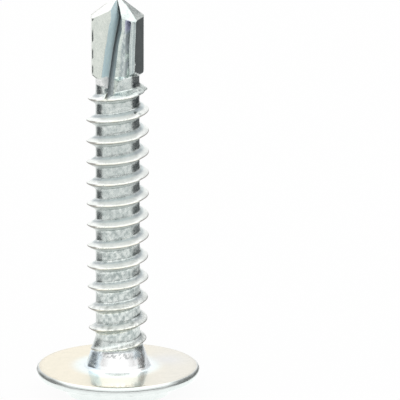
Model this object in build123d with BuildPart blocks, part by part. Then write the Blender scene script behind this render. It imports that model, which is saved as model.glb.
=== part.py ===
"""Self drilling screw with a wafer head, a cross recess and a two-flute drill point.

All lengths are in millimetres and all angles in degrees. The screw stands on its head: the flat around the
recess lies on z = 0 with its centre at the origin, the shank rises along +Z, and its front faces -Y.
"""

import os
from math import ceil, cos, radians, sin, tan

from build123d import *

# Head
head_diameter = 10.9
head_height = 1.945
rim_thickness = 0.66
rim_side = 0.14
rim_bevel_width = 0.25
rim_bevel_lean = 0.08
flange_thickness = 0.86
valley_diameter = 8.7
valley_round = 0.95
boss_diameter = 7.06
boss_edge_drop = 0.24
rest_diameter = 5.3

# Cross recess
wing_span = 4.72
wing_width = 1.12
wing_draft = 3.0
wing_corner_round = 0.3
recess_depth = 2.25
recess_bottom_span = 2.24
recess_tip_depth = 0.24

# Shank
screw_length = 24.755
core_diameter = 2.87
neck_diameter = 4.16
neck_length = 2.0
neck_fillet = 0.28

# Thread
thread_pitch = 1.411
thread_angle = 60.0
thread_diameter = 4.1
thread_start = 0.49
thread_fade = 1.3
thread_span_turns = 4

# Drill body
drill_diameter = 3.6
drill_width = 3.42
drill_length = 5.33

# Flutes: the heel lip stands forward at the point, and the groove is undercut below it
lip_depth = 1.28
undercut_height = 0.1
flute_middle = 3.3
flute_reach = 1.2

# Web thickness between the grooves, and the sideways place of a groove's bottom
web_at_tip = 0.68
web_at_lip = 0.7
web_at_middle = 0.84
web_at_shoulder = 1.28
web_at_end = 3.1
groove_side_tip = 0.05
groove_side_lip = 0.25
groove_side_middle = -0.18
groove_side_shoulder = -0.48
groove_side_end = -0.85

# How far a groove's two walls lean away from the front
rake_angle_tip = 17.0
rake_angle_lip = 27.0
rake_angle_middle = 30.0
rake_angle_shoulder = 39.0
heel_angle_tip = 36.0
heel_angle_lip = 37.0
heel_angle_undercut = 48.5
heel_angle_middle = 54.0
heel_angle_shoulder = 62.0

# Facets of the point
chisel_width = 0.52
flank_angle = 52.5
lip_fall = 12.4
heel_fall = 25.3

# Heights and radii that follow from the sizes above
bearing_z = head_height
tip_z = bearing_z + screw_length
drill_z = tip_z - drill_length
head_radius = head_diameter / 2
core_radius = core_diameter / 2
drill_radius = drill_diameter / 2
thread_radius = thread_diameter / 2
overlap = 0.1


def point_facet(side, fall, turn):
    """Plane through one end of the chisel that falls outwards to its side and by an angle to the front."""
    normal = Vector(side / tan(radians(flank_angle)), -tan(radians(fall)), 1).rotate(Axis.Z, turn)
    chisel_end = Vector(side * chisel_width / 2, 0, tip_z).rotate(Axis.Z, turn)
    return Plane(origin=chisel_end, z_dir=normal)


def groove_outline(web, side, rake_angle, heel_angle):
    """Corners of the flute's V section, open to the front and wider than the drill body."""
    bottom = Vector(side, -web / 2)
    reach = drill_diameter + core_diameter
    rake_end = bottom + Vector(-sin(radians(rake_angle)), -cos(radians(rake_angle))) * reach
    heel_end = bottom + Vector(sin(radians(heel_angle)), -cos(radians(heel_angle))) * reach
    return [bottom, rake_end, heel_end]


# Cross recess: a cross with rounded inner corners, kept inside a cone, with a shallow tip at its bottom
wing_end_slope = (wing_span - recess_bottom_span) / 2 / recess_depth

wing_width_at_bottom = wing_width - 2 * recess_depth * tan(radians(wing_draft))

with BuildPart() as recess:
    for height, width in ((0, wing_width), (recess_depth, wing_width_at_bottom)):
        with BuildSketch(Plane.XY.offset(height)) as cross:
            Rectangle(wing_span + overlap, width)
            Rectangle(width, wing_span + overlap)
            inner_corners = cross.vertices().sort_by_distance((0, 0, height))[:4]
            fillet(inner_corners, radius=wing_corner_round)
    loft(ruled=True)
    with BuildSketch(Plane.XZ):
        with BuildLine():
            Polyline(
                (0, -overlap),
                (wing_span / 2 + overlap * wing_end_slope, -overlap),
                (recess_bottom_span / 2, recess_depth),
                (0, recess_depth),
                close=True,
            )
        make_face()
    revolve(axis=Axis.Z, mode=Mode.INTERSECT)
    with BuildSketch(Plane.XZ):
        with BuildLine():
            tip_edge = (wing_width / 2, recess_depth)
            Polyline((0, 0), (wing_width / 2, 0), tip_edge, (0, recess_depth + recess_tip_depth), close=True)
        make_face()
    revolve(axis=Axis.Z)

# Thread: a sharp V ridge along a helix, swept in spans and faded out by a cone below the drill body
ridge_root_radius = core_radius - overlap
ridge_half_width = (thread_radius - ridge_root_radius) * tan(radians(thread_angle / 2))
span_height = thread_span_turns * thread_pitch
helix_z = bearing_z + thread_start
helix_end = drill_z + overlap

with BuildPart() as thread:
    with BuildLine() as thread_path:
        for span in range(ceil((helix_end - helix_z) / span_height)):
            span_z = helix_z + span * span_height
            height = min(span_height, helix_end - span_z)
            Helix(pitch=thread_pitch, height=height, radius=core_radius, center=(0, 0, span_z))
    with BuildSketch(Plane.XZ):
        with BuildLine():
            Polyline(
                (ridge_root_radius, helix_z - ridge_half_width),
                (thread_radius, helix_z),
                (ridge_root_radius, helix_z + ridge_half_width),
                close=True,
            )
        make_face()
    sweep(path=thread_path.line, is_frenet=True)
    with BuildSketch(Plane.XZ):
        with BuildLine():
            Polyline(
                (0, 0),
                (thread_radius + overlap, 0),
                (thread_radius + overlap, drill_z - thread_fade),
                (core_radius - overlap / 2, helix_end),
                (0, helix_end),
                close=True,
            )
        make_face()
    revolve(axis=Axis.Z, mode=Mode.INTERSECT)

# One flute: a V groove lofted from above the tip to where it runs out over the shank
lip_z = tip_z - lip_depth
flute_rows = [
    (tip_z + overlap, web_at_tip, groove_side_tip, rake_angle_tip, heel_angle_tip),
    (lip_z, web_at_lip, groove_side_lip, rake_angle_lip, heel_angle_lip),
    (lip_z - undercut_height, web_at_lip, groove_side_lip, rake_angle_lip, heel_angle_undercut),
    (tip_z - flute_middle, web_at_middle, groove_side_middle, rake_angle_middle, heel_angle_middle),
    (drill_z, web_at_shoulder, groove_side_shoulder, rake_angle_shoulder, heel_angle_shoulder),
    (drill_z - flute_reach, web_at_end, groove_side_end, rake_angle_shoulder, heel_angle_shoulder),
]

with BuildPart() as flute:
    for height, web, side, rake_angle, heel_angle in flute_rows:
        with BuildSketch(Plane.XY.offset(height)):
            with BuildLine():
                Polyline(groove_outline(web, side, rake_angle, heel_angle), close=True)
            make_face()
    loft(ruled=True)

# The screw: head, neck, core and drill blank in one turned profile
with BuildPart() as screw:
    with BuildSketch(Plane.XZ) as body_profile:
        with BuildLine():
            rest_edge = (rest_diameter / 2, 0)
            boss_edge = (boss_diameter / 2, boss_edge_drop)
            valley_edge = (valley_diameter / 2, bearing_z - flange_thickness)
            rim_middle = bearing_z - rim_thickness / 2
            neck_foot = (neck_diameter / 2, bearing_z)
            shoulder_height = drill_radius - core_radius
            Polyline((0, 0), rest_edge, boss_edge)
            RadiusArc(boss_edge, valley_edge, valley_round)
            Polyline(
                valley_edge,
                (head_radius - rim_bevel_width, bearing_z - rim_thickness),
                (head_radius - rim_bevel_lean, rim_middle - rim_side),
                (head_radius, rim_middle),
                (head_radius - rim_bevel_lean, rim_middle + rim_side),
                (head_radius - rim_bevel_width, bearing_z),
                neck_foot,
                (core_radius, bearing_z + neck_length),
                (core_radius, drill_z),
                (drill_radius, drill_z + shoulder_height),
                (drill_radius, tip_z),
                (0, tip_z),
                (0, 0),
            )
        make_face()
        neck_corner = body_profile.vertices().sort_by_distance((*neck_foot, 0))[0]
        fillet(neck_corner, radius=neck_fillet)
    revolve(axis=Axis.Z)
    for turn in (0, 180):
        for side, fall in ((-1, lip_fall), (1, heel_fall)):
            split(bisect_by=point_facet(side, fall, turn), keep=Keep.BOTTOM)
    flat_depth = drill_radius
    with BuildSketch(Plane.XY.offset(drill_z)):
        with Locations((-(drill_width + flat_depth) / 2, 0), ((drill_width + flat_depth) / 2, 0)):
            Rectangle(flat_depth, drill_diameter)
    extrude(amount=drill_length, mode=Mode.SUBTRACT)
    add(thread.part)
    with PolarLocations(0, 2):
        add(flute.part, mode=Mode.SUBTRACT)
    add(recess.part, mode=Mode.SUBTRACT)

screw.part.label = "screw"
os.makedirs("parts", exist_ok=True)
export_step(screw.part, "parts/screw.step")
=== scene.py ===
from math import atan, atan2, cos, pi, radians, sin, sqrt, tan

import bmesh
import bpy
import numpy as np
from mathutils import Matrix, Vector


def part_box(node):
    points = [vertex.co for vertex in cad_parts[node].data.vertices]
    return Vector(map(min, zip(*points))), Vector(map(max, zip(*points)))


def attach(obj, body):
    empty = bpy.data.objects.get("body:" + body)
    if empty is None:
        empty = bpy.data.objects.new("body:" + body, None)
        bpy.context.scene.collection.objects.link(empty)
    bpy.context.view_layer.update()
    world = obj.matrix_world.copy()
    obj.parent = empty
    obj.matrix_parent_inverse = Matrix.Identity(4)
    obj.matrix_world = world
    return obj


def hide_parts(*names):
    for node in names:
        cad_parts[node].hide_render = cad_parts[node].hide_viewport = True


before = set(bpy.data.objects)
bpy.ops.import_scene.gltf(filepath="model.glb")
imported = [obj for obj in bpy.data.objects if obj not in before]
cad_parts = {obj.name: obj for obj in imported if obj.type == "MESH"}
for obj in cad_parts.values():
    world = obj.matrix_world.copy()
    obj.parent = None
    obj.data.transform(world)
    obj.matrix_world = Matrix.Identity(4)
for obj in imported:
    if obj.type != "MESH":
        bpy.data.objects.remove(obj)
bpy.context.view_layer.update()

MM = 0.001

# Camera: the photograph's size and the places in it that fix the view
FRAME_PX = 400
PX_PER_MM = 15.172
CAMERA_ELEVATION = 13.6
CAMERA_DISTANCE = 215.0
FOCAL_PX = PX_PER_MM * CAMERA_DISTANCE
AXIS_PX = 117.7
MIDDLE_ROW_HEIGHT = 11.2985
ROLL = -0.1
SENSOR = 36.0

# Sizes of the screw in millimetres, as in the solid model
screw_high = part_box("screw")[1]
head_radius = screw_high[0] / MM
tip_z = screw_high[2] / MM
bearing_z = 1.945
rim_radius = 0.33
rim_width = 0.25
valley_radius = 4.35
valley_z = 1.085
valley_round = 0.95
boss_radius = 3.53
boss_z = 0.24
rest_radius = 2.65
wing_span = 4.72
wing_width = 1.12
wing_corner_round = 0.3
recess_depth = 2.25
recess_bottom_span = 2.24
recess_bottom_width = 0.884
recess_tip_depth = 0.24
thread_pitch = 1.411
thread_half_angle = radians(30)
helix_z = bearing_z + 0.49
core_radius = 1.435
neck_foot_radius = 2.09
neck_fillet = 0.3
drill_z = 21.37
chisel_half = 0.35
undercut_height = 0.1

# Mesh: columns of one half turn, from the cutting edge of a flute to that of the next
RAKE_COLUMNS = 18
HEEL_COLUMNS = 30
LAND_FRONT_COLUMNS = 18
LAND_BACK_COLUMNS = 22
LAND_FIRST = RAKE_COLUMNS + HEEL_COLUMNS
LAND_BACK_FIRST = LAND_FIRST + LAND_FRONT_COLUMNS
HALF_COLUMNS = LAND_BACK_FIRST + LAND_BACK_COLUMNS
COLUMNS = 2 * HALF_COLUMNS
FIRST_COLUMN_STEP = -60
THREAD_START_Z = 2.9
THREAD_PLAIN_Z = 18.6
FLUTE_END_Z = 20.17
DRILL_ROWS_Z = 21.9
GROOVE_SPREAD = radians(5)

columns = np.arange(COLUMNS + 1)
half_number = columns // HALF_COLUMNS
even_angles = (FIRST_COLUMN_STEP + columns) * 2 * pi / COLUMNS


def smooth_step(low, high, value):
    """From 0 at low to 1 at high, level at both ends."""
    share = np.clip((value - low) / (high - low), 0, 1)
    return share * share * (3 - 2 * share)


def soft_max(first, second, round_size):
    """The larger of two fields, with the corner between them rounded."""
    return 0.5 * (first + second + np.sqrt((first - second) ** 2 + round_size ** 2))


def soft_min(first, second, round_size):
    """The smaller of two fields, with the corner between them rounded."""
    return -soft_max(-first, -second, round_size)


def waves(seed, count, highest, *coordinates):
    """Seeded smooth noise of about unit size: a sum of sines in random directions."""
    chance = np.random.default_rng(seed)
    total = 0
    for _ in range(count):
        phase = chance.uniform(0, 2 * pi)
        for coordinate in coordinates:
            phase = phase + coordinate * chance.uniform(-highest, highest)
        total = total + np.sin(phase)
    return total / sqrt(count)


# Shank and thread

CORE_HEIGHTS = [bearing_z, 2.26, 3.15, 3.95, 20.0]
CORE_RADII = [2.09, 2.04, 1.755, 1.465, core_radius]

# Crest radius by the number of turns from the head: it swells at first, and its last turn is ragged
CREST_TURNS = [0.4, 0.5, 0.75, 1.0, 1.25, 1.5, 2.5, 5, 8, 12,
               12.2, 12.42, 12.56, 12.66, 12.72, 12.86, 12.95, 13.05, 13.12, 13.3]
CREST_RADII = [1.62, 1.775, 1.80, 1.885, 1.93, 1.945, 1.975, 2.02, 2.05, 2.05,
               2.0, 1.98, 1.90, 1.88, 2.0, 2.02, 1.90, 1.84, 1.55, 1.3]
CREST_ROUND = 0.035
ROOT_ROUND = 0.07

# Outline of the drill's lobe: angle from its side and radius, over half a turn
LOBE_CORNERS = [(-110.5, 1.80), (-90, 1.80), (-70, 1.80), (-49, 1.79), (-8, 1.725), (0, 1.72),
                (10, 1.74), (27, 1.85), (69.5, 1.80)]
LOBE_START = radians(LOBE_CORNERS[0][0])

# Height at which the lobe ends below, by the same angle: higher beside the heel than beside the cutting edge
SHOULDER_ANGLES = [-110.5, -60, 0, 69.5]
SHOULDER_HEIGHTS = [21.15, 21.8, 21.6, 21.15]
SHOULDER_SLOPE = 1.1


def fold_angle(angle):
    """An angle brought into the half turn that the lobe's corners cover."""
    return np.mod(angle - LOBE_START, pi) + LOBE_START


def lobe_radius(angle):
    """Radius of the drill's lobes at an angle, as straight facets between the corners.

    A facet's line through two corners meets the ray at that angle where the cross products are equal.
    """
    corner_angles = np.radians([corner[0] for corner in LOBE_CORNERS])
    corner_radii = np.array([corner[1] for corner in LOBE_CORNERS])
    folded = fold_angle(angle)
    place = np.searchsorted(corner_angles, folded, side="right") - 1
    place = np.clip(place, 0, len(LOBE_CORNERS) - 2)
    x = corner_radii * np.cos(corner_angles)
    y = corner_radii * np.sin(corner_angles)
    edge_x = x[place + 1] - x[place]
    edge_y = y[place + 1] - y[place]
    across = x[place] * edge_y - y[place] * edge_x
    return across / (np.cos(folded) * edge_y - np.sin(folded) * edge_x)


def body_radius(angle, z):
    """Radius of the screw without its flutes: the core, a helical ridge on it and the drill's lobes above.

    The ridge falls from its crest at the thread's angle, by the height above or below the nearest turn.
    The crest's radius wavers with wear in the lower turns and is ragged in the last.
    """
    core = np.interp(z, CORE_HEIGHTS, CORE_RADII)
    turn = (z - helix_z) / thread_pitch - angle / (2 * pi)
    nearest = np.round(turn)
    offset = (turn - nearest) * thread_pitch
    along = nearest + angle / (2 * pi)
    crest = np.interp(along, CREST_TURNS, CREST_RADII)
    wear = smooth_step(9, 3, along) * 0.012 + 0.004
    crest = crest + wear * waves(5, 9, 40, along)
    ragged = smooth_step(12.3, 12.5, along) * 0.03 + smooth_step(12.88, 12.96, along) * 0.03
    crest = crest + ragged * waves(6, 7, 90, along)
    fall = (np.sqrt(offset ** 2 + CREST_ROUND ** 2) - CREST_ROUND) / tan(thread_half_angle)
    threaded = soft_max(core, crest - fall, ROOT_ROUND)
    shoulder_z = np.interp(np.degrees(fold_angle(angle)), SHOULDER_ANGLES, SHOULDER_HEIGHTS)
    shoulder = core + (z - shoulder_z) * SHOULDER_SLOPE
    lobe = soft_min(lobe_radius(angle), shoulder, 0.03)
    return np.where(z > drill_z - 1, np.maximum(threaded, lobe), threaded)


# Flutes

# Cutting side: the groove's bottom and the lean of the cutting wall, by depth below the tip
flute_depth = tip_z - FLUTE_END_Z
BOTTOM_DEPTHS = [-0.1, 0.3, 0.7, 1.15, 1.7, 3.0, 4.8, 5.4, 6.1, flute_depth]
BOTTOM_X = [0.0, 0.04, 0.12, 0.18, 0.06, -0.2, -0.47, -0.55, -0.63, -0.8]
BOTTOM_Y = [-0.34, -0.34, -0.34, -0.35, -0.36, -0.41, -0.56, -0.68, -1.05, -1.55]
RAKE_DEPTHS = [0, 1.0, 1.4, 2.4, 3.1, 3.8, 4.6, 5.1, flute_depth]
RAKE_ANGLES = [17, 22, 25, 24.5, 26.5, 29, 32.5, 36, 40]

# Heel side: angle and radius of each corner by depth, from the groove's bottom to the heel's edge
ON_BODY = 9.0
CORNER_DEPTHS = [1.1, 1.4, 1.9, 2.9, 3.9, 4.95, 5.1, 6.1, flute_depth]
RIDGE_LEFT = ([-77.4, -76.9, -75.7, -86.2, -92.7, -99.5, -100, -101, -116.3],
              [1.31, 1.23, 1.135, 0.97, 0.97, 1.08, 1.12, 1.42, ON_BODY])
RIDGE_MIDDLE = ([-68.2, -68.2, -67.8, -74.2, -78.7, -84.7, -85, -98, -115.5],
                [1.346, 1.292, 1.22, 1.03, 1.02, 1.075, 1.25, ON_BODY, ON_BODY])
RIDGE_RIGHT = ([-64.6, -63.8, -63.4, -66.1, -67.3, -69, -75, -95, -114.6],
               [1.351, 1.292, 1.252, 1.236, 1.246, 1.285, ON_BODY, ON_BODY, ON_BODY])
NOTCH = ([-43.9, -43.9, -48.6, -53, -55, -56.3, -65, -92, -113.8],
         [1.082, 1.082, 1.119, 1.164, 1.185, 1.226, ON_BODY, ON_BODY, ON_BODY])
HEEL_STEP = ([-57.1, -57.1, -57.6, -59.7, -59.9, -60.5, -58, -88, -113.1],
             [1.62, 1.62, 1.587, 1.528, 1.537, 1.563, ON_BODY, ON_BODY, ON_BODY])
HEEL_EDGE = ([-48.2, -47, -48, -50, -51.5, -54, -52, -84, -112.3], [ON_BODY] * len(CORNER_DEPTHS))
HEEL_CORNERS = [RIDGE_LEFT, RIDGE_MIDDLE, RIDGE_RIGHT, NOTCH, HEEL_STEP, HEEL_EDGE]
HEEL_STOPS = [0, 6, 11, 16, 21, 25, HEEL_COLUMNS]
LIP_SHARES = [0, 0.24, 0.33, 0.55, 0.66, 1]
LIP_LEFT = (0.285, -1.28)
LIP_THICKNESS = 0.03

# Plane of the heel's top face, which falls to the front: its depth at a place, and its two slopes
HEEL_TOP_PLACE = (0.435, -0.15)
HEEL_TOP_DEPTH = 0.1316
HEEL_TOP_SLOPES = (0.2519, -0.877)


def heel_top_depth(x, y):
    """Depth below the tip of the heel's top face, for the front flute: a plane, lifted near the axis."""
    across = HEEL_TOP_SLOPES[0] * (x - HEEL_TOP_PLACE[0])
    to_back = HEEL_TOP_SLOPES[1] * (y - HEEL_TOP_PLACE[1])
    return HEEL_TOP_DEPTH + across + to_back - 0.2 * smooth_step(-0.45, -0.05, y)


def reach_body(start_x, start_y, step_x, step_y, half_turn, z):
    """Length along a ray from a groove's bottom to the body's surface, by halving the stretch.

    It is 0 where the ray starts outside.
    """
    near = np.zeros_like(z)
    far = np.full_like(z, 3.0)
    for _ in range(26):
        middle = (near + far) / 2
        x = start_x + middle * step_x
        y = start_y + middle * step_y
        inside = np.hypot(x, y) < body_radius(np.arctan2(y, x) + half_turn, z)
        near = np.where(inside, middle, near)
        far = np.where(inside, far, middle)
    return near


def fluted_section(column, z):
    """Points of the section with its flutes: cutting wall, heel wall with its corners, and land.

    Each column stands at a fixed share of one of these stretches. The outline is worked out for the front
    flute at each height, and turned by half a turn for the other one.
    """
    half_turn = (column // HALF_COLUMNS) * pi
    place = column % HALF_COLUMNS
    depth = tip_z - z
    bottom_x = np.interp(depth, BOTTOM_DEPTHS, BOTTOM_X)
    bottom_y = np.interp(depth, BOTTOM_DEPTHS, BOTTOM_Y)
    rake = np.radians(np.interp(depth, RAKE_DEPTHS, RAKE_ANGLES))
    bottom_angle = np.arctan2(bottom_y, bottom_x)
    surface = body_radius(bottom_angle + half_turn, z)
    pull = np.minimum(1, surface / np.hypot(bottom_x, bottom_y))
    bottom_x = bottom_x * pull
    bottom_y = bottom_y * pull

    rake_length = reach_body(bottom_x, bottom_y, -np.sin(rake), -np.cos(rake), half_turn, z)
    rake_angle = np.arctan2(bottom_y - rake_length * np.cos(rake), bottom_x - rake_length * np.sin(rake))
    spread_angle = np.minimum(rake_angle, bottom_angle - GROOVE_SPREAD)
    rake_angle = rake_angle + smooth_step(5.5, 6.2, depth) * (spread_angle - rake_angle)
    rake_radius = body_radius(rake_angle + half_turn, z)
    rake_x = rake_radius * np.cos(rake_angle)
    rake_y = rake_radius * np.sin(rake_angle)
    rake_share = np.interp(place, [0, 1, RAKE_COLUMNS], [0, 0.02, 1])
    wall_x = rake_x + rake_share * (bottom_x - rake_x)
    wall_y = rake_y + rake_share * (bottom_y - rake_y)

    last_x, last_y = bottom_x, bottom_y
    heel_place = place - RAKE_COLUMNS
    for (angles, radii), start, stop in zip(HEEL_CORNERS, HEEL_STOPS, HEEL_STOPS[1:]):
        heel_angle = np.radians(np.interp(depth, CORNER_DEPTHS, angles))
        radius = np.interp(depth, CORNER_DEPTHS, radii)
        radius = np.minimum(radius, body_radius(heel_angle + half_turn, z))
        corner_x = radius * np.cos(heel_angle)
        corner_y = radius * np.sin(heel_angle)
        share = np.clip((heel_place - start) / (stop - start), 0, 1)
        wall_x = wall_x + share * (corner_x - last_x)
        wall_y = wall_y + share * (corner_y - last_y)
        last_x, last_y = corner_x, corner_y

    # Above the lip the heel wall runs straight from the ridge to the heel's edge
    to_lip = np.clip(heel_place / HEEL_STOPS[1], 0, 1)
    along_lip = np.interp(heel_place, HEEL_STOPS[1:], LIP_SHARES)
    lip_x = bottom_x + to_lip * (LIP_LEFT[0] - bottom_x) + along_lip * (last_x - LIP_LEFT[0])
    lip_y = bottom_y + to_lip * (LIP_LEFT[1] - bottom_y) + along_lip * (last_y - LIP_LEFT[1])
    lip_depth = heel_top_depth(lip_x, lip_y) + LIP_THICKNESS
    above = np.clip(1 - (depth - lip_depth) / undercut_height, 0, 1) * (heel_place >= 0)
    wall_x = wall_x + above * (lip_x - wall_x)
    wall_y = wall_y + above * (lip_y - wall_y)

    front_share = np.clip((place - LAND_FIRST) / LAND_FRONT_COLUMNS, 0, 1)
    back_share = np.interp(place, [LAND_BACK_FIRST, HALF_COLUMNS - 1, HALF_COLUMNS], [0, 0.985, 1])
    land_angle = heel_angle * (1 - front_share) + back_share * (rake_angle + pi)
    land_radius = body_radius(land_angle + half_turn, z)
    on_land = place >= LAND_FIRST
    x = np.where(on_land, land_radius * np.cos(land_angle), wall_x)
    y = np.where(on_land, land_radius * np.sin(land_angle), wall_y)
    turned = np.where(column // HALF_COLUMNS % 2 == 1, -1, 1)
    return x * turned, y * turned


def closed_angles():
    """Each column's angle where the flutes have just closed."""
    bottom = atan2(BOTTOM_Y[-1], BOTTOM_X[-1])
    first = bottom - GROOVE_SPREAD
    stops = [0, RAKE_COLUMNS, LAND_FIRST, LAND_BACK_FIRST, HALF_COLUMNS]
    angles = [first, bottom, radians(HEEL_EDGE[0][-1]), 0, first + pi]
    return np.interp(columns % HALF_COLUMNS, stops, angles) + half_number * pi


def ring_grid(angle, z):
    """Points of the body's surface at given angles and heights."""
    radius = body_radius(angle, z)
    return np.stack([radius * np.cos(angle), radius * np.sin(angle), z], axis=-1)


def thread_rows():
    """Rows that run up with the helix, so that each crest and root lies on a row.

    Row height = crest height at that angle + a share of the pitch, cut off level at the ends.
    """
    half_pitch = thread_pitch / 2
    steps = np.array([0, 0.02, 0.05, 0.11, 0.19, 0.27, 0.33, 0.39, 0.47, 0.58])
    offsets = np.concatenate([-steps[:0:-1], steps, [half_pitch]]) / thread_pitch
    turns = np.arange(-1, 14)
    shares = (turns[:, None] + offsets[None, :]).ravel()
    z = helix_z + thread_pitch * (shares[:, None] + even_angles[None, :] / (2 * pi))
    z = np.clip(z, THREAD_START_Z, THREAD_PLAIN_Z)
    return ring_grid(np.broadcast_to(even_angles, z.shape), z)


def run_out_rows():
    """Level rows over the thread's last turns, whose columns draw together towards the flutes' ends."""
    z = np.arange(THREAD_PLAIN_Z, FLUTE_END_Z + 0.05, 0.025)[:, None]
    share = smooth_step(THREAD_PLAIN_Z + 0.1, FLUTE_END_Z - 0.05, z)
    angle = even_angles + share * (closed_angles() - even_angles)
    return ring_grid(angle, np.broadcast_to(z, angle.shape))


def flute_rows():
    """Level rows from the flutes' ends up to the body of the drill."""
    z = np.arange(FLUTE_END_Z + 0.08, DRILL_ROWS_Z, 0.03)[:, None] + 0 * columns
    x, y = fluted_section(np.broadcast_to(columns, z.shape), z)
    return np.stack([x, y, z], axis=-1)


# Point

FRONT_LEFT_SLOPES = (-0.765, -0.219)
FRONT_RIGHT_SLOPES = (0.76, -0.473)


def roof_height(column, x, y):
    """Height of the point's roof: the lowest of four planes that fall from the chisel.

    Over the columns beyond a groove's bottom it is cut once more by that heel's top face.
    """
    drop = np.zeros_like(x)
    start = FRONT_LEFT_SLOPES[0] * chisel_half
    for turned in (1, -1):
        for slope_x, slope_y in (FRONT_LEFT_SLOPES, FRONT_RIGHT_SLOPES):
            drop = soft_max(drop, start + turned * (slope_x * x + slope_y * y), 0.012)
    turned = np.where(column // HALF_COLUMNS % 2 == 1, -1, 1)
    beyond = column % HALF_COLUMNS > RAKE_COLUMNS
    heel_drop = np.where(beyond, heel_top_depth(x * turned, y * turned), -1)
    return tip_z - np.maximum(drop, heel_drop)


def drill_rows():
    """Rows of the drill's body: each column rises from the last level row to the point's roof.

    Its height there is found by halving. Two of the rows make the thin lip at the heel's top.
    """
    low = np.full(columns.shape, DRILL_ROWS_Z)
    high = np.full(columns.shape, tip_z + 0.05)
    for _ in range(30):
        middle = (low + high) / 2
        x, y = fluted_section(columns, middle)
        below = middle < roof_height(columns, x, y)
        low = np.where(below, middle, low)
        high = np.where(below, high, middle)
    top = low
    z = DRILL_ROWS_Z + np.linspace(0, 1, 40)[1:, None] * (top - DRILL_ROWS_Z)
    lip_rows = top - np.array([LIP_THICKNESS + undercut_height, LIP_THICKNESS])[:, None]
    z = np.sort(np.concatenate([z, lip_rows]), axis=0)
    x, y = fluted_section(np.broadcast_to(columns, z.shape), z)
    return np.stack([x, y, z], axis=-1)


def roof_rows(edge):
    """Rows that shrink the point's upper edge towards the axis, lying on the roof."""
    shares = np.linspace(1, 0, 36)[1:, None]
    x = shares * edge[:, 0]
    y = shares * edge[:, 1]
    return np.stack([x, y, roof_height(columns, x, y)], axis=-1)


# Head

def cross_outline(span, width, share):
    """Closed outline of a cross with rounded inner corners and wing ends, at shares of a full turn.

    An eighth of it is half a wing end, a straight wing side and half an inner corner, mirrored and turned.
    """
    eighth = np.abs(np.mod(share * 4 + 0.5, 1) - 0.5) * 2
    wing = np.floor(share * 4 + 0.5)
    side = np.sign(np.mod(share * 4 + 0.5, 1) - 0.5)
    half_width = width / 2
    end_angle = np.arcsin(half_width / (span / 2))
    side_end = span / 2 * np.cos(end_angle)
    corner_start = half_width + wing_corner_round
    end_part = np.clip(eighth / 0.3, 0, 1) * end_angle
    side_part = np.clip((eighth - 0.3) / 0.5, 0, 1)
    corner_part = np.clip((eighth - 0.8) / 0.2, 0, 1) * pi / 4
    in_end = eighth <= 0.3
    x = np.where(in_end, span / 2 * np.cos(end_part), side_end + side_part * (corner_start - side_end))
    y = np.where(in_end, span / 2 * np.sin(end_part), half_width)
    in_corner = eighth > 0.8
    x = np.where(in_corner, corner_start - wing_corner_round * np.sin(corner_part), x)
    y = np.where(in_corner, corner_start - wing_corner_round * np.cos(corner_part), y)
    y = y * side
    turn = wing * pi / 2
    return x * np.cos(turn) - y * np.sin(turn), x * np.sin(turn) + y * np.cos(turn)


def recess_rows():
    """Rows from the recess's bottom outwards: coned floor, drafted walls and the flat around the mouth."""
    share = even_angles / (2 * pi)
    rows = []
    bottom_x, bottom_y = cross_outline(recess_bottom_span, recess_bottom_width, share)
    for scale in np.linspace(0, 1, 8):
        x, y = scale * bottom_x, scale * bottom_y
        cone = np.clip(1 - np.hypot(x, y) / (recess_bottom_width / 2), 0, 1)
        rows.append(np.stack([x, y, recess_depth + recess_tip_depth * cone], axis=-1))
    for rise in np.linspace(1, 0, 9)[1:]:
        span = wing_span + rise * (recess_bottom_span - wing_span)
        width = wing_width + rise * (recess_bottom_width - wing_width)
        x, y = cross_outline(span, width, share)
        rows.append(np.stack([x, y, np.full(x.shape, recess_depth * rise)], axis=-1))
    mouth_x, mouth_y = cross_outline(wing_span, wing_width, share)
    ring_x = rest_radius * np.cos(even_angles)
    ring_y = rest_radius * np.sin(even_angles)
    for out in np.linspace(0, 1, 8)[1:]:
        x = mouth_x + out * (ring_x - mouth_x)
        y = mouth_y + out * (ring_y - mouth_y)
        rows.append(np.stack([x, y, np.zeros(x.shape)], axis=-1))
    return np.array(rows)


def arc(centre, radius, start, end, count):
    """Points of a circle's arc in the profile's plane, angles in degrees from outwards to upwards."""
    turn = np.radians(np.linspace(start, end, count))
    return np.stack([centre[0] + radius * np.cos(turn), centre[1] + radius * np.sin(turn)], axis=-1)


def line(start, end, count):
    """Points along a straight stretch of the profile, without its first."""
    return np.linspace(start, end, count + 1)[1:]


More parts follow.
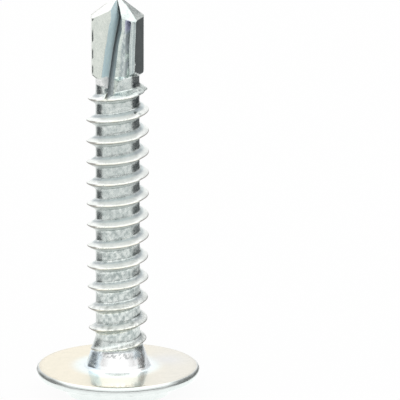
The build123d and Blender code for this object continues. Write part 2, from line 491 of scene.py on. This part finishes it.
def head_rows():
    """The turned part of the head: boss edge, round valley, round rim, bearing face, fillet and neck."""
    valley_centre = (4.475, 0.1435)
    start = np.degrees(atan2(boss_z - valley_centre[1], boss_radius - valley_centre[0]))
    end = np.degrees(atan2(valley_z - valley_centre[1], valley_radius - valley_centre[0]))
    rim_centre = (head_radius - rim_width, bearing_z - rim_radius)
    rim = arc((0, rim_centre[1]), rim_radius, -90, 90, 22)
    rim[:, 0] = rim_centre[0] + rim[:, 0] * rim_width / rim_radius
    profile = np.concatenate([
        line((rest_radius, 0), (rest_radius + 0.06, 0.006), 2),
        line((rest_radius + 0.06, 0.006), (boss_radius - 0.06, boss_z - 0.03), 4),
        arc(valley_centre, valley_round, start, end, 14),
        line((valley_radius, valley_z), (rim_centre[0] - 0.05, rim_centre[1] - rim_radius), 6),
        rim,
        line((rim_centre[0], bearing_z), (neck_foot_radius + neck_fillet, bearing_z), 14),
        arc((neck_foot_radius + neck_fillet - 0.02, bearing_z + neck_fillet), neck_fillet, -90, -172, 8)[1:],
    ])
    radius, z = profile[:, 0:1], profile[:, 1:2]
    x, y = radius * np.cos(even_angles), radius * np.sin(even_angles)
    turned = np.stack([x, y, z + 0 * even_angles], axis=-1)
    neck_z = np.linspace(profile[-1, 1] + 0.06, THREAD_START_Z, 8)[:, None] + 0 * even_angles
    neck = ring_grid(np.broadcast_to(even_angles, neck_z.shape), neck_z)
    return np.concatenate([turned, neck])


def grid_triangles(row_count):
    """Two triangles for each cell of the grid: columns run anticlockwise and rows towards the point."""
    width = COLUMNS + 1
    row = np.arange(row_count - 1)[:, None]
    column = np.arange(COLUMNS)[None, :]
    a = row * width + column
    b = a + 1
    c = b + width
    d = a + width
    first = np.stack([a, b, c], axis=-1).reshape(-1, 3)
    second = np.stack([a, c, d], axis=-1).reshape(-1, 3)
    return np.concatenate([first, second])


# Tones laid on the plating: a tint and how matt it is. Many of them are painted light and shade: highlights,
# glints, shade, shadow and reflections. Where it is bright the tint multiplies the zinc's colour.
TONES = {
    # Thread: painted soft light and highlights on the flanks and crests, painted shade at the flanks' sides,
    # beneath each crest and on its outer edge
    "painted soft light on flank": ((0.80, 0.87, 0.89), 0.6),
    "painted flank highlight": ((1.15, 1.15, 1.13), 0.5),
    "shaded flank": ((0.42, 0.46, 0.50), 0.7),
    "painted lower flank shading": ((0.80, 0.82, 0.80), 0.5),
    "painted shade line under crest": ((0.17, 0.16, 0.11), 0.8),
    "painted cream crest highlight": ((1.20, 1.15, 1.04), 0.5),
    "worn flank": ((0.45, 0.48, 0.46), 0.5),
    "painted shade on crest edge": ((0.24, 0.22, 0.20), 0.8),
    "dark speck": ((0.55, 0.58, 0.58), 0),
    "light speck": ((1.25, 1.22, 1.20), 0),
    "fine dark speck": ((0.50, 0.54, 0.54), 0),
    "fine light speck": ((1.40, 1.36, 1.36), 0),
    # Core: painted light that makes the lower left paler
    "painted light on lower left core": ((0.80, 0.84, 0.80), 0.8),
    "ragged core": ((0.28, 0.30, 0.31), 0),
    # Flutes: the teal wall is painted shade and reflection in the groove, the slit and the groove's end
    # painted shadow, the heel wall and its notch painted shade, and the gleams, glints, shelf, shoulder, land
    # and lower edge painted highlights
    "teal wall with painted shade": ((0.56, 0.71, 0.75), 0.92),
    "teal blotch": ((0.66, 0.78, 0.74), 0.92),
    "wall gleam": ((0.90, 1.00, 0.95), 0.9),
    "painted highlight on shelf": ((0.98, 0.98, 0.97), 0.85),
    "painted shadow in slit": ((0.24, 0.27, 0.285), 0.85),
    "painted shade beside slit": ((0.52, 0.56, 0.58), 0.5),
    "painted highlight on ridge": ((1.10, 1.12, 1.08), 0),
    "painted shade on ridge": ((0.52, 0.58, 0.60), 0.3),
    "ridge glint": ((1.20, 1.20, 1.20), 0),
    # notch: painted shade in the heel wall's notch
    "notch": ((0.58, 0.62, 0.65), 0.6),
    "notch glint": ((1.60, 1.60, 1.60), 0),
    "violet painted shade in notch": ((0.55, 0.56, 0.70), 0.8),
    "blue painted shade in notch": ((0.80, 0.85, 0.95), 0.5),
    "heel step": ((0.74, 0.78, 0.80), 0),
    "step gleam": ((1.10, 1.13, 1.12), 0),
    # Painted highlight on the shoulder and painted shadow at the groove's end
    "painted highlight on shoulder": ((0.99, 0.99, 0.98), 0.8),
    "painted shadow at groove end": ((0.10, 0.11, 0.08), 0.8),
    # land: painted lighter as a highlight, with darker streaks along it
    "land": ((1.06, 1.05, 1.00), 0),
    "land streak": ((0.88, 0.90, 0.85), 0),
    "painted highlight on lower edge": ((1.50, 1.50, 1.50), 0),
    # Point: painted highlights on the bright facets and the heel facet's rim, painted shade along the ridge
    "painted highlight on bright facet": ((1.45, 1.38, 1.36), 0),
    "facet speck": ((0.60, 0.60, 0.64), 0),
    "painted highlight on facet rim": ((1.35, 1.33, 1.32), 0),
    "painted shade on facet ridge": ((0.62, 0.60, 0.58), 0.6),
    "bearing face": ((1.20, 1.22, 1.22), 0),
    "cream face": ((1.18, 1.03, 0.85), 0),
    "greyer face": ((1.08, 0.98, 0.89), 0),
    "violet face": ((1.03, 0.98, 1.00), 0),
    # Bearing face: a painted reflection of the neck
    "painted_neck_reflection": ((0.60, 0.64, 0.57), 0),
    # Rim and neck: a painted dark reflection on the rim, painted light on the neck's right and front, painted
    # shading at its edge
    "painted dark reflection on rim": ((0.16, 0.18, 0.17), 0.7),
    "rim speck": ((0.60, 0.62, 0.60), 0.3),
    "neck": ((1.22, 1.29, 1.44), 0),
    "painted light on right of neck": ((1.60, 1.66, 1.80), 0),
    "painted highlight on neck front": ((1.50, 1.42, 1.45), 0),
    "painted shading at neck edge": ((0.92, 0.92, 0.95), 0.85),
    "fringe": ((0.40, 0.43, 0.44), 0.5),
}
THREAD_POLISH = 0.5
LAND_POLISH = 0.6
NECK_POLISH = 0.85


class Paint:
    """Tint, mattness and polish of the plating at each point of a grid, laid on mask by mask; the tints hold
    painted light and shade as well as the plating's own tones.
    """

    def __init__(self, shape):
        self.tint = np.ones(shape + (3,))
        self.matt = np.zeros(shape)
        self.polish = np.zeros(shape)

    def lay(self, mask, tone):
        """Moves the tint and the mattness towards a tone's by the mask's share."""
        tint, matt = TONES[tone]
        share = np.clip(mask, 0, 1)
        self.tint = self.tint + share[..., None] * (np.array(tint) - self.tint)
        self.matt = self.matt + share * (matt - self.matt)


def between(low, high, soft, value):
    """Mask of the values between two bounds, with soft edges."""
    return smooth_step(low - soft, low + soft, value) * smooth_step(high + soft, high - soft, value)


def specks(seed, count, highest, steep, *coordinates):
    """Blotches from -1 to 1, as the hyperbolic tangent of smooth noise."""
    return np.tanh(steep * waves(seed, count, highest, *coordinates))


def paint_thread(paint, x, y, z):
    """Painted light on the thread: pale softly lit flanks with white highlights near the crests, painted shade
    on the flanks at the sides, an even painted shading on the lower flanks, cream painted highlights on the
    crests, and painted shade as dark lines beneath each crest and on its outer edge.

    The bands lie at heights from the nearest turn's crest, given as the offset.
    """
    radius = np.hypot(x, y)
    angle = np.arctan2(y, x)
    turn = (z - helix_z) / thread_pitch - angle / (2 * pi)
    offset = (turn - np.round(turn)) * thread_pitch
    above_core = radius - np.interp(z, CORE_HEIGHTS, CORE_RADII)
    thread = between(2.3, 20.6, 0.05, z) * smooth_step(0.0, 0.1, above_core) * (radius < 2.1)
    aside = np.abs(np.arctan2(x, -y))
    beside = between(0.75, 1.35, 0.15, aside) * smooth_step(1.85, 1.6, radius)
    outer = smooth_step(1.25, 1.55, np.abs(x)) * smooth_step(0.9, -0.3, y)
    uneven = 0.5 + 0.5 * specks(11, 12, 9, 1.0, x, y, z)
    rough = smooth_step(9, 4, z) * np.clip(specks(17, 16, 22, 1.5, x, y, z), 0, 1)
    # Strength of the painted shade line under the crest, more on the right
    line = np.clip(0.45 + 0.55 * uneven + 0.4 * smooth_step(0.6, 1.3, x), 0, 1)
    # Painted soft light and a highlight on the upper flank, painted shade at its sides and an even painted
    # shading on the lower flank
    paint.lay(thread * between(0.18, 0.42, 0.05, offset), "painted soft light on flank")
    paint.lay(thread * between(0.03, 0.21, 0.04, offset), "painted flank highlight")
    paint.lay(thread * beside * between(0.1, 0.42, 0.05, offset) * 0.8, "shaded flank")
    paint.lay(thread * between(-0.4, -0.08, 0.02, offset), "painted lower flank shading")
    # Painted shade as a dark line under the crest, and a cream painted highlight on the crest
    paint.lay(thread * between(-0.12, -0.07, 0.012, offset) * line, "painted shade line under crest")
    paint.lay(thread * between(-0.06, 0.03, 0.012, offset) * (0.5 + 0.5 * uneven), "painted cream crest highlight")
    paint.lay(thread * rough * between(-0.3, 0.4, 0.05, offset) * 0.75, "worn flank")
    # Painted shade on the crest's outer edge at the sides
    paint.lay(thread * between(-0.08, 0.03, 0.012, offset) * outer * 0.9, "painted shade on crest edge")
    paint.polish = np.maximum(paint.polish, thread * THREAD_POLISH)


def paint_core(paint, x, y, z):
    """Dark and light specks of the rough core between the threads, stronger in the lower half, and painted
    light that makes the core's lower left paler.
    """
    core = between(2.4, 21.2, 0.05, z) * smooth_step(1.62, 1.48, np.hypot(x, y))
    amount = core * np.interp(z, [3.0, 5.0, 10.0, 14.0, 20.0], [0.5, 0.85, 0.85, 0.4, 0.45])
    coarse = specks(12, 16, 16, 1.6, x, y, z)
    fine = specks(20, 18, 34, 1.6, x, y, z)
    paint.lay(amount * np.clip(coarse - 0.1, 0, 1), "dark speck")
    paint.lay(amount * np.clip(-coarse - 0.3, 0, 1), "light speck")
    paint.lay(amount * np.clip(fine - 0.3, 0, 1), "fine dark speck")
    paint.lay(amount * np.clip(-fine - 0.5, 0, 1), "fine light speck")
    # Painted light: the core's lower left made paler
    low_left = smooth_step(8, 5.5, z) * smooth_step(-0.8, -1.2, x)
    paint.lay(core * low_left * 0.35, "painted light on lower left core")
    ragged = between(19.2, 21.3, 0.1, z) * np.clip(waves(13, 14, 22, x, y, z), 0, 1)
    paint.lay(ragged * between(1.0, 1.5, 0.15, x), "ragged core")


def paint_flutes(paint, x, y, z, place, half):
    """Painted light and shade in the flutes: a teal cutting wall that stands for its shade and reflection,
    painted shadow in the slit and at the groove's end, a dull heel wall and its notch in painted shade with
    painted gleams and glints, painted highlights on the shelf below, the shoulder and the lower edge, and a
    land painted lighter, with streaks.

    The bands run along the columns: place counts them from the cutting edge, heel from the groove's bottom.
    """
    depth = tip_z - z
    turned = np.where(half % 2 == 1, -1, 1)
    x, y = x * turned, y * turned
    heel = place - RAKE_COLUMNS
    blotch = specks(14, 14, 14, 1.5, x, y, z * 0.6)
    fine = specks(15, 16, 30, 1.5, x, y, z * 0.5)
    open_part = smooth_step(5.12, 5.02, depth)
    long_part = smooth_step(6.35, 6.2, depth)

    wall = between(-1, RAKE_COLUMNS - 1, 1, place)
    inner_wall = between(-1, RAKE_COLUMNS - 2, 1, place)
    beside_slit = between(RAKE_COLUMNS - 3, RAKE_COLUMNS - 2, 0.6, place)
    # The teal cutting wall stands for its shade and reflection in the groove, with a painted highlight beside
    # the slit and on the shelf below; painted shadow in the slit, with painted shade beside it
    paint.lay(wall * open_part, "teal wall with painted shade")
    paint.lay(inner_wall * open_part * 0.3 * np.clip(blotch, 0, 1), "teal blotch")
    paint.lay(beside_slit * open_part, "wall gleam")
    paint.lay(inner_wall * between(5.1, 5.75, 0.04, depth), "painted highlight on shelf")
    paint.lay(between(-1.4, 3.2, 0.5, heel) * long_part, "painted shadow in slit")
    paint.lay(between(3.2, 5.8, 0.4, heel) * long_part, "painted shade beside slit")

    ridge = between(11.2, 16, 0.5, heel) * open_part
    notch = between(16, 21.5, 0.6, heel) * open_part
    # Painted highlight, shade and a glint on the heel wall's ridge; painted shade with glints in the notch,
    # and violet and blue painted shade in the recess below the lip
    paint.lay(between(6.2, 10.5, 0.5, heel) * long_part, "painted highlight on ridge")
    paint.lay(ridge * (0.6 + 0.4 * fine), "painted shade on ridge")
    paint.lay(ridge * np.clip(-fine - 0.4, 0, 1), "ridge glint")
    paint.lay(notch * (0.45 + 0.55 * blotch), "notch")
    paint.lay(notch * np.clip(-blotch - 0.3, 0, 1), "notch glint")
    paint.lay(between(13, 22, 0.6, heel) * between(1.15, 1.95, 0.08, depth), "violet painted shade in notch")
    paint.lay(between(15, 21, 0.6, heel) * between(1.98, 2.12, 0.05, depth), "blue painted shade in notch")
    paint.lay(between(25.5, 30, 0.4, heel) * open_part, "heel step")
    paint.lay(between(26.2, 27.6, 0.4, heel) * open_part, "step gleam")

    behind = place >= LAND_BACK_FIRST
    shoulder = between(4.97, 5.6, 0.05, depth) * between(0.65, 1.75, 0.08, x * np.sign(y))
    groove_end = between(10, RAKE_COLUMNS - 1, 1, place) * between(6.05, 6.35, 0.05, depth)
    land = between(LAND_BACK_FIRST + 2, HALF_COLUMNS, 0.5, place) * open_part
    streak = np.clip(specks(19, 10, 1.3, 1.0, place), 0, 1)
    # Painted highlight on the shoulder, painted shadow at the groove's end, the land painted lighter as a
    # highlight with streaks along it, and a painted highlight along the heel wall's lower edge
    paint.lay(np.where(behind | (heel < 0), 1, 0) * shoulder, "painted highlight on shoulder")
    paint.lay(groove_end, "painted shadow at groove end")
    paint.lay(land, "land")
    paint.lay(land * streak * 0.5, "land streak")
    paint.lay(between(4.93, 5.04, 0.02, depth) * between(12, 31, 0.5, heel), "painted highlight on lower edge")
    paint.polish = np.where(heel > HEEL_COLUMNS, LAND_POLISH, 0) * open_part


def paint_roof(paint, x, y, on_roof, place):
    """The point's own facets: painted highlights on the bright ones beside the cutting edge and on the heel
    facet's rim, a dull mottled one at the heel, and a painted shade line along the ridge of the facets behind.
    """
    speck = np.clip(specks(16, 14, 26, 2.0, x, y), 0, 1)
    behind = place >= LAND_BACK_FIRST
    heel_facet = on_roof * np.where((place >= LAND_FIRST + 4) & ~behind, 1, 0)
    edge_facet = on_roof * np.where(behind | (place <= RAKE_COLUMNS), 1, 0)
    ridge = between(-0.15, 0.02, 0.03, -y * np.sign(x)) * smooth_step(0.6, 0.8, np.abs(x))
    # Painted highlights on the bright facets and the heel facet's rim, and a painted shade line along the
    # ridge
    paint.lay(edge_facet, "painted highlight on bright facet")
    paint.lay(heel_facet * 0.6 * speck, "facet speck")
    paint.lay(heel_facet * 0.7 * smooth_step(1.3, 1.6, np.hypot(x, y)), "painted highlight on facet rim")
    paint.lay(on_roof * np.where(behind, 0.8, 0) * ridge, "painted shade on facet ridge")


def paint_bearing(paint, x, y, z):
    """The head's polished bearing face: cream, greyer to the right, with a faint violet bloom and a painted
    reflection of the neck as a soft grey-green patch.
    """
    distance = np.hypot(x, y)
    face = between(bearing_z - 0.01, bearing_z + 0.02, 0.005, z) * smooth_step(1.9, 2.4, distance)
    outer = smooth_step(2.5, 3.4, distance)
    bloom = np.exp(-((x - 3.2) / 1.4) ** 2 - ((y - 1.2) / 1.2) ** 2)
    # Painted reflection of the neck in the polished face, a soft patch in front of it
    painted_neck_reflection = np.exp(-(x / 1.9) ** 4 - ((y + 3.4) / 1.2) ** 4)
    paint.lay(face, "bearing face")
    paint.lay(face * outer, "cream face")
    paint.lay(face * smooth_step(-1, 4, x) * outer, "greyer face")
    paint.lay(face * bloom * 0.8, "violet face")
    paint.lay(face * painted_neck_reflection * 0.55, "painted_neck_reflection")


def paint_rim_and_neck(paint, x, y, z):
    """A painted dark reflection as a line around the rim, stronger at the sides, and a neck with a white
    painted highlight on its front, painted light on its right side, painted shading at its right edge and a
    ragged fringe.
    """
    distance = np.hypot(x, y)
    aside = np.abs(np.arctan2(x, -y))
    speck = specks(18, 14, 9, 1.5, x, y, z)
    to_side = smooth_step(0.35, 0.95, aside)
    # Painted dark reflection: a line around the rim, stronger at the sides
    line = np.exp(-((z - 1.615 - 0.21 * to_side) / (0.04 + 0.05 * to_side)) ** 2)
    line = line * (distance > 5.0) * (0.3 + 0.7 * to_side) * (0.8 + 0.2 * speck)
    below_rim = (distance > 4.6) * between(1.0, 1.4, 0.05, z)
    paint.lay(line, "painted dark reflection on rim")
    paint.lay(below_rim * np.clip(speck - 0.2, 0, 1) * 0.5, "rim speck")

    neck = between(2.0, 3.25, 0.12, z) * smooth_step(2.5, 2.3, distance)
    front = neck * smooth_step(0.78, 0.56, aside + 0.06 * speck)
    crumbs = np.clip(specks(21, 16, 26, 2.0, x, y, z), 0, 1)
    fringe = between(2.88, 3.25, 0.06, z + 0.08 * x)
    fringe = fringe * smooth_step(2.1, 2.0, distance) * smooth_step(0.3, -0.5, y)
    paint.lay(neck, "neck")
    # Painted light on the neck's right side and a painted highlight on its front
    paint.lay(neck * smooth_step(0.9, 1.5, x), "painted light on right of neck")
    paint.lay(front, "painted highlight on neck front")
    paint.polish = np.maximum(paint.polish, NECK_POLISH * front)
    # Painted shading at the neck's right edge
    paint.lay(neck * smooth_step(1.7, 1.88, x) * 0.8, "painted shading at neck edge")
    paint.lay(fringe * crumbs * 0.8, "fringe")


def paint_screw(rows, roof_start):
    """Tint, mattness and polish of every point of the screw."""
    x, y, z = rows[..., 0], rows[..., 1], rows[..., 2]
    place = columns % HALF_COLUMNS + 0 * z
    half = half_number + 0 * z
    on_roof = (np.arange(len(rows)) >= roof_start)[:, None] + 0 * z
    paint = Paint(z.shape)
    paint.polish = smooth_step(2.25, 2.1, z)
    paint_bearing(paint, x, y, z)
    paint_rim_and_neck(paint, x, y, z)
    paint_thread(paint, x, y, z)
    paint_core(paint, x, y, z)
    drill = Paint(z.shape)
    paint_flutes(drill, x, y, z, place, half)
    upper = (z > FLUTE_END_Z) & (on_roof == 0)
    paint.tint = np.where(upper[..., None], paint.tint * drill.tint, paint.tint)
    paint.matt = np.where(upper, np.maximum(drill.matt, paint.matt), paint.matt)
    paint.polish = np.where(upper, np.maximum(drill.polish, paint.polish), paint.polish)
    paint_roof(paint, x, y, on_roof, place)
    return paint


def build_screw():
    """The whole screw as one closed surface, from the recess's bottom over head and thread to the tip."""
    drill = drill_rows()
    below = [recess_rows(), head_rows(), thread_rows(), run_out_rows(), flute_rows(), drill]
    rows = np.concatenate(below + [roof_rows(drill[-1])])
    paint = paint_screw(rows, sum(len(part) for part in below))
    points = rows.reshape(-1, 3)
    triangles = grid_triangles(len(rows))
    mesh = bpy.data.meshes.new("screw_body")
    mesh.from_pydata(points.tolist(), [], triangles.tolist())
    # Painted tints: stains and also painted highlights, shade and reflections, with the mattness in alpha
    stain = mesh.attributes.new("stain", "FLOAT_COLOR", "POINT")
    colours = np.concatenate([paint.tint, paint.matt[..., None]], axis=-1)
    stain.data.foreach_set("color", colours.astype(np.float32).ravel())
    polish = mesh.attributes.new("polish", "FLOAT", "POINT")
    polish.data.foreach_set("value", paint.polish.astype(np.float32).ravel())
    shape = bmesh.new()
    shape.from_mesh(mesh)
    bmesh.ops.remove_doubles(shape, verts=shape.verts, dist=0.0004)
    bmesh.ops.dissolve_degenerate(shape, dist=0.0002, edges=shape.edges)
    bmesh.ops.scale(shape, vec=(MM, MM, MM), verts=shape.verts)
    for face in shape.faces:
        face.smooth = True
    shape.to_mesh(mesh)
    shape.free()
    mesh.set_sharp_from_angle(angle=radians(32))
    body = bpy.data.objects.new("screw_body", mesh)
    bpy.context.scene.collection.objects.link(body)
    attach(body, "root")
    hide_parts("screw")
    return body


# Material

class Wire:
    """A node's socket that can be reckoned with: each operator adds the Math node that it names."""

    def __init__(self, board, socket):
        self.board = board
        self.socket = socket

    def join(self, operation, first, second):
        inputs = {0: first, 1: second}
        return self.board.node("ShaderNodeMath", {"operation": operation}, inputs)["Value"]

    def __add__(self, other):
        return self.join("ADD", self, other)

    def __radd__(self, other):
        return self.join("ADD", other, self)

    def __sub__(self, other):
        return self.join("SUBTRACT", self, other)

    def __rsub__(self, other):
        return self.join("SUBTRACT", other, self)

    def __mul__(self, other):
        return self.join("MULTIPLY", self, other)

    def __rmul__(self, other):
        return self.join("MULTIPLY", other, self)

    def __truediv__(self, other):
        return self.join("DIVIDE", self, other)


class Board:
    """The nodes of one material or world."""

    def __init__(self, owner):
        owner.use_nodes = True
        self.tree = owner.node_tree
        self.tree.nodes.clear()

    def node(self, kind, settings=None, inputs=None):
        """Adds a node, sets its settings and then its sockets, and returns its outputs by name."""
        added = self.tree.nodes.new(kind)
        for name, value in (settings or {}).items():
            if name == "stops":
                self.set_stops(added.color_ramp, value)
            else:
                setattr(added, name, value)
        for key, value in (inputs or {}).items():
            if isinstance(value, Wire):
                self.tree.links.new(value.socket, added.inputs[key])
            else:
                added.inputs[key].default_value = value
        return {output.name: Wire(self, output) for output in added.outputs if output.enabled}

    def set_stops(self, ramp, stops):
        """Sets a colour ramp's stops, given as places and grey levels or colours."""
        while len(ramp.elements) < len(stops):
            ramp.elements.new(0.5)
        for element, (place, colour) in zip(ramp.elements, stops):
            element.position = place
            element.color = (*colour, 1) if isinstance(colour, tuple) else (colour, colour, colour, 1)

    def mix(self, factor, first, second, blend="MIX"):
        """Mixes two colours."""
        settings = {"data_type": "RGBA", "blend_type": blend}
        return self.node("ShaderNodeMix", settings, {0: factor, 6: first, 7: second})["Result"]

    def step(self, low, high, value):
        """A smooth step of a value from 0 at low to 1 at high."""
        inputs = {"Value": value, "From Min": low, "From Max": high}
        return self.node("ShaderNodeMapRange", {"interpolation_type": "SMOOTHSTEP"}, inputs)["Result"]


def zinc_material():
    """Bright zinc plating: a bluish grey metal with mottled tone, fine grain and the painted tints, which are
    stains and also painted highlights, shade and reflections.

    The painted alpha makes a place matt, and the painted polish takes its grain away.
    """
    material = bpy.data.materials.new("bright_zinc")
    board = Board(material)
    place = board.node("ShaderNodeTexCoord")["Object"]
    inputs = {0: place, "Scale": 1 / MM}
    in_mm = board.node("ShaderNodeVectorMath", {"operation": "SCALE"}, inputs)["Vector"]
    blotch = board.node("ShaderNodeTexNoise", None, {"Vector": in_mm, "Scale": 2.2, "Detail": 3.0})["Fac"]
    grain = board.node("ShaderNodeTexNoise", None, {"Vector": in_mm, "Scale": 9.0, "Detail": 2.0})["Fac"]
    painted = board.node("ShaderNodeAttribute", {"attribute_name": "stain"})
    stain, matt = painted["Color"], painted["Alpha"]
    polish = board.node("ShaderNodeAttribute", {"attribute_name": "polish"})["Fac"]
    tone = blotch * 0.5 + grain * 0.5
    stops = [(0.3, (0.45, 0.51, 0.50)), (0.52, (0.66, 0.71, 0.69)), (0.7, (0.80, 0.84, 0.82))]
    mottled = board.node("ShaderNodeValToRGB", {"stops": stops}, {"Fac": tone})["Color"]
    zinc = board.mix(polish * 0.8, mottled, (0.69, 0.73, 0.715, 1))
    shining = board.mix(1.0, zinc, stain, "MULTIPLY")
    shade = tone * 0.5 + 0.75
    grey = board.node("ShaderNodeCombineColor", None, {0: shade, 1: shade, 2: shade})["Color"]
    dull = board.mix(1.0, stain, grey, "MULTIPLY")
    colour = board.mix(matt, shining, dull)
    height = (grain * 0.7 + blotch * 0.3) * (1 - polish)
    inputs = {"Strength": 0.5, "Distance": 0.02 * MM, "Height": height}
    normal = board.node("ShaderNodeBump", None, inputs)["Normal"]
    roughness = grain * (1 - polish) * 0.3 + matt * 0.3 + 0.12
    inputs = {"Base Color": colour, "Metallic": 1 - matt, "Roughness": roughness, "Normal": normal}
    shader = board.node("ShaderNodeBsdfPrincipled", None, inputs)["BSDF"]
    board.node("ShaderNodeOutputMaterial", None, {"Surface": shader})
    return material


# Stage

def make_camera():
    """Camera in front of the screw, turned aside so that the axis stands left of the picture's middle."""
    data = bpy.data.cameras.new("camera")
    data.sensor_width = SENSOR
    data.lens = FOCAL_PX * SENSOR / FRAME_PX
    data.clip_start = 1 * MM
    data.clip_end = 10.0
    camera = bpy.data.objects.new("camera", data)
    bpy.context.scene.collection.objects.link(camera)
    elevation = radians(CAMERA_ELEVATION)
    target = Vector((0, 0, bearing_z + MIDDLE_ROW_HEIGHT)) * MM
    back = Vector((0, -cos(elevation), sin(elevation)))
    camera.location = target + back * CAMERA_DISTANCE * MM
    pan = atan((FRAME_PX / 2 - AXIS_PX) / FOCAL_PX)
    forward = -back
    right = Vector((1, 0, 0))
    up = right.cross(forward)
    aim = (forward * cos(pan) + right * sin(pan)).normalized()
    side = (right * cos(pan) - forward * sin(pan)).normalized()
    roll = radians(ROLL)
    turned_side = side * cos(roll) + up * sin(roll)
    turned_up = up * cos(roll) - side * sin(roll)
    rotation = Matrix((turned_side, turned_up, -aim)).transposed()
    camera.rotation_euler = rotation.to_euler()
    bpy.context.scene.camera = camera


def make_floor():
    """A white floor. In the metal's reflections its far sides are dark, as a table beyond a white sheet."""
    size = 1.2
    mesh = bpy.data.meshes.new("floor")
    corners = [(-size, -size, 0), (size, -size, 0), (size, size, 0), (-size, size, 0)]
    mesh.from_pydata(corners, [], [(0, 1, 2, 3)])
    floor = bpy.data.objects.new("floor", mesh)
    bpy.context.scene.collection.objects.link(floor)
    material = bpy.data.materials.new("floor_white")
    board = Board(material)
    place = board.node("ShaderNodeTexCoord")["Object"]
    axes = board.node("ShaderNodeSeparateXYZ", None, {"Vector": place})
    x, y = axes["X"] / MM, axes["Y"] / MM
    distance = board.node("ShaderNodeMath", {"operation": "SQRT"}, {0: x * x + y * y})["Value"]
    far = board.step(18.0, 50.0, distance)
    near = board.step(22.0, 12.0, distance)
    dark = dark_sides(board, x, y / distance) * far
    reflected = board.mix(dark, (1, 1, 1, 1), (0.13, 0.135, 0.14, 1))
    paths = board.node("ShaderNodeLightPath")
    glossy = paths["Is Glossy Ray"]
    strength = 1.0 + near * glossy * 0.3
    colour = board.mix(glossy, (1, 1, 1, 1), reflected)
    glow = board.node("ShaderNodeEmission", None, {"Color": colour, "Strength": strength})["Emission"]
    matt = board.node("ShaderNodeBsdfDiffuse", None, {"Color": (0.95, 0.95, 0.95, 1)})["BSDF"]
    share = glossy + paths["Is Camera Ray"] * 0.92
    both = board.node("ShaderNodeMixShader", None, {0: share, 1: matt, 2: glow})["Shader"]
    board.node("ShaderNodeOutputMaterial", None, {"Surface": both})
    mesh.materials.append(material)


def dark_sides(board, x, backward):
    """Mask of the dark sides: 80 to 160 degrees from the front on the right, 88 to 140 on the left."""
    right = board.step(-0.01, 0.01, x)
    right_mask = board.step(-0.24, -0.10, backward) * board.step(0.97, 0.90, backward)
    left_mask = board.step(-0.08, 0.06, backward) * board.step(0.84, 0.68, backward)
    return right * right_mask + (1 - right) * left_mask


def make_world():
    """White studio with even light.

    Reflections see a brighter top and back, dark sides, a grey part behind on the right, and in front a dark
    band below a brighter one.
    """
    world = bpy.data.worlds.new("studio")
    board = Board(world)
    direction = board.node("ShaderNodeTexCoord")["Generated"]
    axes = board.node("ShaderNodeSeparateXYZ", None, {"Vector": direction})
    x, y, z = axes["X"], axes["Y"], axes["Z"]
    level_part = board.node("ShaderNodeMath", {"operation": "SQRT"}, {0: x * x + y * y + 0.0001})["Value"]
    backward = y / level_part
    top = board.step(0.45, 0.8, z)
    back = board.step(0.6, 0.95, y)
    sides = dark_sides(board, x, backward) * board.step(0.30, 0.20, z)
    grey_right = board.step(-0.1, 0.1, x) * board.step(0.1, 0.3, backward) * board.step(0.95, 0.8, backward)
    grey_right = grey_right * board.step(0.80, 0.70, z)
    band = board.step(0.07, 0.11, z) * board.step(0.26, 0.21, z) * board.step(-0.2, -0.6, y)
    front = board.step(0.28, 0.34, z) * board.step(0.6, 0.5, z) * board.step(-0.6, -0.8, y)
    bright = 1.0 + back * 0.12 + top * 0.6 + front * 0.25
    level = bright * (1 - band * 0.85) * (1 - grey_right * 0.5) * (1 - sides * 0.83)
    paths = board.node("ShaderNodeLightPath")
    glossy = paths["Is Glossy Ray"]
    strength = glossy * level + (1 - glossy) * 1.0
    inputs = {"Color": (1, 1, 1, 1), "Strength": strength}
    sky = board.node("ShaderNodeBackground", None, inputs)["Background"]
    board.node("ShaderNodeOutputWorld", None, {"Surface": sky})
    bpy.context.scene.world = world


make_camera()
screw = build_screw()
screw.data.materials.append(zinc_material())
make_floor()
make_world()
bpy.context.scene.view_settings.view_transform = "Standard"
